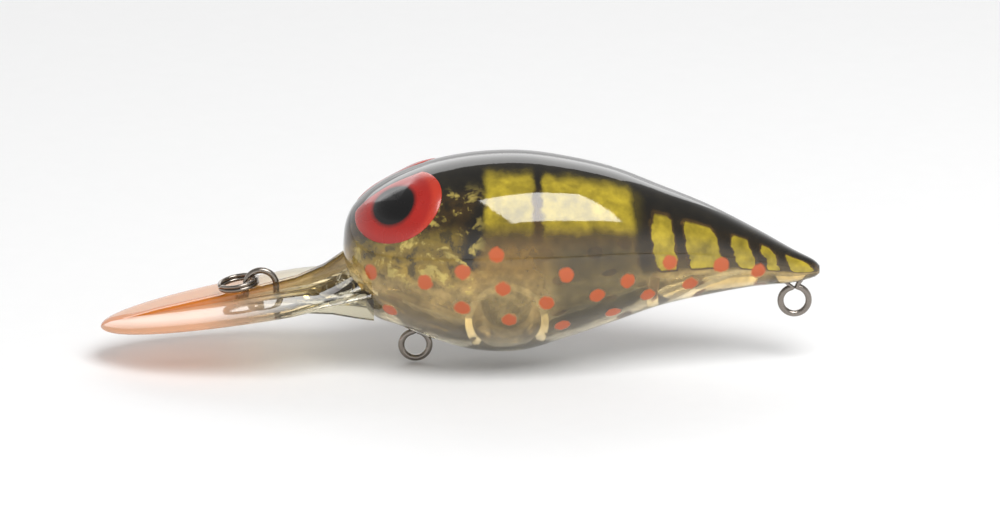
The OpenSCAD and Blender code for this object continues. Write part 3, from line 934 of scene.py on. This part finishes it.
def split_ring_path(middle, radius, rise, slope):
    """Two turns of wire, one on the other, with a short step where they cross."""
    turn = np.linspace(0, 4 * math.pi, 193)
    step = np.clip((turn - 1.9 * math.pi) / (0.2 * math.pi), 0, 1)
    axial = -rise + 2 * rise * step * step * (3 - 2 * step)
    start = math.radians(200)
    x, y = radius * np.cos(turn + start), radius * np.sin(turn + start)
    flat = np.column_stack([x * math.cos(slope) - axial * math.sin(slope), y,
                            x * math.sin(slope) + axial * math.cos(slope)])
    return flat + np.array(middle)


# ---------------------------------------------------------------- operators

# The belly eye from the nose: share of the body's length, and of half its height
BELLY_EYE = (0.151, -0.986)
BODY_PLACE = MOUNTS["belly_eye"] - Vector((BELLY_EYE[0] * BODY_LEN, 0, BELLY_EYE[1] * BODY_HEIGHT / 2))


# Degrees above the flank, and in metres the distance, the point looked at and the width in view
CAMERA_RISE = 17
CAMERA_AWAY = 0.6
CAMERA_AIM = (0.0256, 0.0, 0.00345)
CAMERA_FIELD = 0.107


def from_nose(point):
    """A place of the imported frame, in millimetres from the nose."""
    return (np.array(point) - np.array(BODY_PLACE)) / MM


class LURE_OT_camera(bpy.types.Operator):
    """Places the camera square on to the lure's flank and a little above it"""
    bl_idname = "lure.camera"
    bl_label = "Camera"

    def execute(self, context):
        data = bpy.data.cameras.new("camera")
        made = bpy.data.objects.new("camera", data)
        context.scene.collection.objects.link(made)
        rise, away = math.radians(CAMERA_RISE), CAMERA_AWAY
        aim = Vector(CAMERA_AIM)
        back = Vector((0, -math.cos(rise), math.sin(rise)))
        made.location = aim + back * away
        made.rotation_mode = "QUATERNION"
        made.rotation_quaternion = (-back).to_track_quat("-Z", "Y")
        data.sensor_width = 36
        data.lens = data.sensor_width * away / CAMERA_FIELD
        data.clip_start, data.clip_end = 0.05, 20
        context.scene.camera = made
        context.scene.view_settings.view_transform = "Standard"
        return {"FINISHED"}


class LURE_OT_shell(bpy.types.Operator):
    """Makes the clear welded shell with its lip, chambers and painted skin"""
    bl_idname = "lure.shell"
    bl_label = "Shell and lip"

    def execute(self, context):
        sizes, paint = context.scene.lure_sizes, context.scene.lure_paint
        body = Body(sizes)
        shell = mould_shell(body, sizes)
        mark_skin(shell, body, sizes)
        index = np.empty(len(shell.data.polygons), np.int32)
        shell.data.polygons.foreach_get("material_index", index)
        finish_piece(shell, "clear_shell_body", BODY_PLACE,
                     [airbrushed_skin(paint), clear_moulding(paint), tinted_lip(paint)], "body")
        shell.data.polygons.foreach_set("material_index", index)
        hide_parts("shell_left", "shell_right")
        return {"FINISHED"}


class LURE_OT_eyes(bpy.types.Operator):
    """Makes the two domed eye discs"""
    bl_idname = "lure.eyes"
    bl_label = "Eyes"

    def execute(self, context):
        sizes = context.scene.lure_sizes
        body = Body(sizes)
        enamel = enamelled_eye(context.scene.lure_paint)
        for side, name in ((-1, "left"), (1, "right")):
            disc = eye_disc(body, sizes, side)
            finish_piece(disc, f"domed_eye_{name}", BODY_PLACE, [enamel], "body")
            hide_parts(f"eye_{name}")
        return {"FINISHED"}


class LURE_OT_wires(bpy.types.Operator):
    """Bends the line tie and the two hook eyes"""
    bl_idname = "lure.wires"
    bl_label = "Line tie and hook eyes"

    def execute(self, context):
        sizes = context.scene.lure_sizes
        steel = bright_metal("drawn_stainless_wire", context.scene.lure_paint.steel, 0.14, 0.3, 2600.0)
        loop_r, wire_r = sizes.loop_r / MM, sizes.wire_d / MM / 2
        tie = from_nose((0, 0, 0))
        belly, tail = from_nose(MOUNTS["belly_eye"]), from_nose(MOUNTS["tail_eye"])
        paths = {
            "line_tie_wire": ("line_tie_eye", line_tie_path(tie, sizes)),
            "belly_eye_wire": ("belly_hook_eye", hook_eye_path(belly, BELLY_LEGS, loop_r)),
            "tail_eye_wire": ("tail_hook_eye", hook_eye_path(tail, TAIL_LEGS, loop_r)),
        }
        for name, (node, path) in paths.items():
            made = wire(path, wire_r, steel)
            finish_piece(made, name, BODY_PLACE, [steel], "body", math.radians(60))
            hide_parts(node)
        return {"FINISHED"}


class LURE_OT_split_ring(bpy.types.Operator):
    """Winds the split ring on the line tie"""
    bl_idname = "lure.split_ring"
    bl_label = "Split ring"

    def execute(self, context):
        sizes = context.scene.lure_sizes
        steel = bright_metal("spring_steel_wire", context.scene.lure_paint.steel, 0.12, 0.28, 3200.0)
        middle = from_nose(MOUNTS["line_ring"])
        hinge = from_nose(SWING["pos_m"])
        radius, fine = float(np.linalg.norm(middle - hinge)), sizes.ring_wire / MM / 2
        path = split_ring_path(middle, radius, 0.97 * fine, sizes.lip_angle)
        made = wire(path, fine, steel, around=16)
        finish_piece(made, "split_ring_wire", BODY_PLACE, [steel], "ring", math.radians(60))
        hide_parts("split_ring")
        return {"FINISHED"}


class LURE_OT_ball(bpy.types.Operator):
    """Makes the loose steel ball in the belly chamber"""
    bl_idname = "lure.ball"
    bl_label = "Rattle ball"

    def execute(self, context):
        steel = bright_metal("tumbled_steel", context.scene.lure_paint.ball, 0.16, 0.4, 1800.0)
        radius = (BALL_HIGH[0] - BALL_LOW[0]) / 2 / MM
        bm = bmesh.new()
        bmesh.ops.create_icosphere(bm, subdivisions=5, radius=radius)
        mesh = bpy.data.meshes.new("ball")
        bm.to_mesh(mesh)
        bm.free()
        ball = bpy.data.objects.new("ball", mesh)
        context.scene.collection.objects.link(ball)
        finish_piece(ball, "steel_rattle_ball", (BALL_LOW + BALL_HIGH) / 2, [steel], "ball")
        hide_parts("rattle_ball")
        return {"FINISHED"}


class LURE_OT_stage(bpy.types.Operator):
    """Lays the pale floor and hangs the soft lights"""
    bl_idname = "lure.stage"
    bl_label = "Floor and lights"

    def execute(self, context):
        scene = context.scene
        low, high = CAD_BOX
        material, tree, shader = new_material("matt_painted_board")
        place = add(tree, "ShaderNodeTexCoord")
        # tooth of the matt paint, a few millimetres across and very faint
        tooth = add(tree, "ShaderNodeTexNoise",
                    {"Vector": place.outputs["Object"], "Scale": 400.0, "Detail": 3.0})
        tone = add(tree, "ShaderNodeMapRange",
                   {"Value": tooth.outputs["Fac"], "To Min": 0.99, "To Max": 1.01})
        shade = add(tree, "ShaderNodeVectorMath",
                    {0: tuple(scene.lure_paint.floor), "Scale": tone.outputs[0]},
                    operation="SCALE")
        tree.links.new(shade.outputs[0], shader.inputs["Base Color"])
        shader.inputs["Roughness"].default_value = 0.9
        shader.inputs["Specular IOR Level"].default_value = 0.0
        mesh = bpy.data.meshes.new("floor")
        z = low[2] - 0.0001
        mesh.from_pydata([(-3, -3, z), (3, -3, z), (3, 3, z), (-3, 3, z)], [], [(0, 1, 2, 3)])
        floor = bpy.data.objects.new("floor", mesh)
        floor.data.materials.append(material)
        scene.collection.objects.link(floor)

        world = bpy.data.worlds.new("soft_sky")
        world.use_nodes = True
        sky = world.node_tree.nodes["Background"]
        # bright round the horizon and dim overhead, so that dark gloss stays dark
        way = add(world.node_tree, "ShaderNodeTexCoord")
        split = add(world.node_tree, "ShaderNodeSeparateXYZ", {0: way.outputs["Generated"]})
        level = add(world.node_tree, "ShaderNodeMapRange", {
            "Value": split.outputs["Z"], "From Min": 0.1, "From Max": 0.7, "To Min": 1.0, "To Max": 0.3},
            interpolation_type="SMOOTHSTEP")
        world.node_tree.links.new(level.outputs[0], sky.inputs["Strength"])
        sky.inputs["Color"].default_value = (1, 1, 1, 1)
        scene.world = world

        middle = (low + high) / 2
        for name, way, away, size, watts in [
                ("window", (0.25, -0.50, 0.83), 0.5, (0.29, 0.32), 2.1),
                ("rear_panel", (-0.1, 0.9, 0.55), 0.9, (0.9, 0.5), 2.4)]:
            data = bpy.data.lights.new(name, "AREA")
            data.shape = "RECTANGLE"
            data.size, data.size_y = size
            data.energy = watts
            lamp = bpy.data.objects.new(name, data)
            direction = Vector(way).normalized()
            lamp.location = middle + direction * away
            lamp.rotation_mode = "QUATERNION"
            lamp.rotation_quaternion = direction.to_track_quat("Z", "Y")
            scene.collection.objects.link(lamp)
        return {"FINISHED"}


class LURE_PT_build(bpy.types.Panel):
    """Lists the operators that make the lure"""
    bl_label = "Clear Crankbait Lure"
    bl_idname = "LURE_PT_build"
    bl_space_type = "VIEW_3D"
    bl_region_type = "UI"
    bl_category = "Lure"

    def draw(self, context):
        for operator in OPERATORS:
            self.layout.operator(operator.bl_idname)
        for group in (context.scene.lure_sizes, context.scene.lure_paint):
            box = self.layout.box()
            for name in group.bl_rna.properties.keys():
                if name not in ("rna_type", "name"):
                    box.prop(group, name)


OPERATORS = (LURE_OT_camera, LURE_OT_shell, LURE_OT_eyes, LURE_OT_wires, LURE_OT_split_ring,
             LURE_OT_ball, LURE_OT_stage)
CLASSES = (LureSizes, LurePaint, *OPERATORS, LURE_PT_build)


def register():
    for cls in CLASSES:
        bpy.utils.register_class(cls)
    bpy.types.Scene.lure_sizes = PointerProperty(type=LureSizes)
    bpy.types.Scene.lure_paint = PointerProperty(type=LurePaint)


def unregister():
    del bpy.types.Scene.lure_paint
    del bpy.types.Scene.lure_sizes
    for cls in reversed(CLASSES):
        bpy.utils.unregister_class(cls)


def main():
    register()
    for operator in OPERATORS:
        group, name = operator.bl_idname.split(".")
        getattr(getattr(bpy.ops, group), name)()
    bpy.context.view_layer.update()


if __name__ == "__main__":
    main()
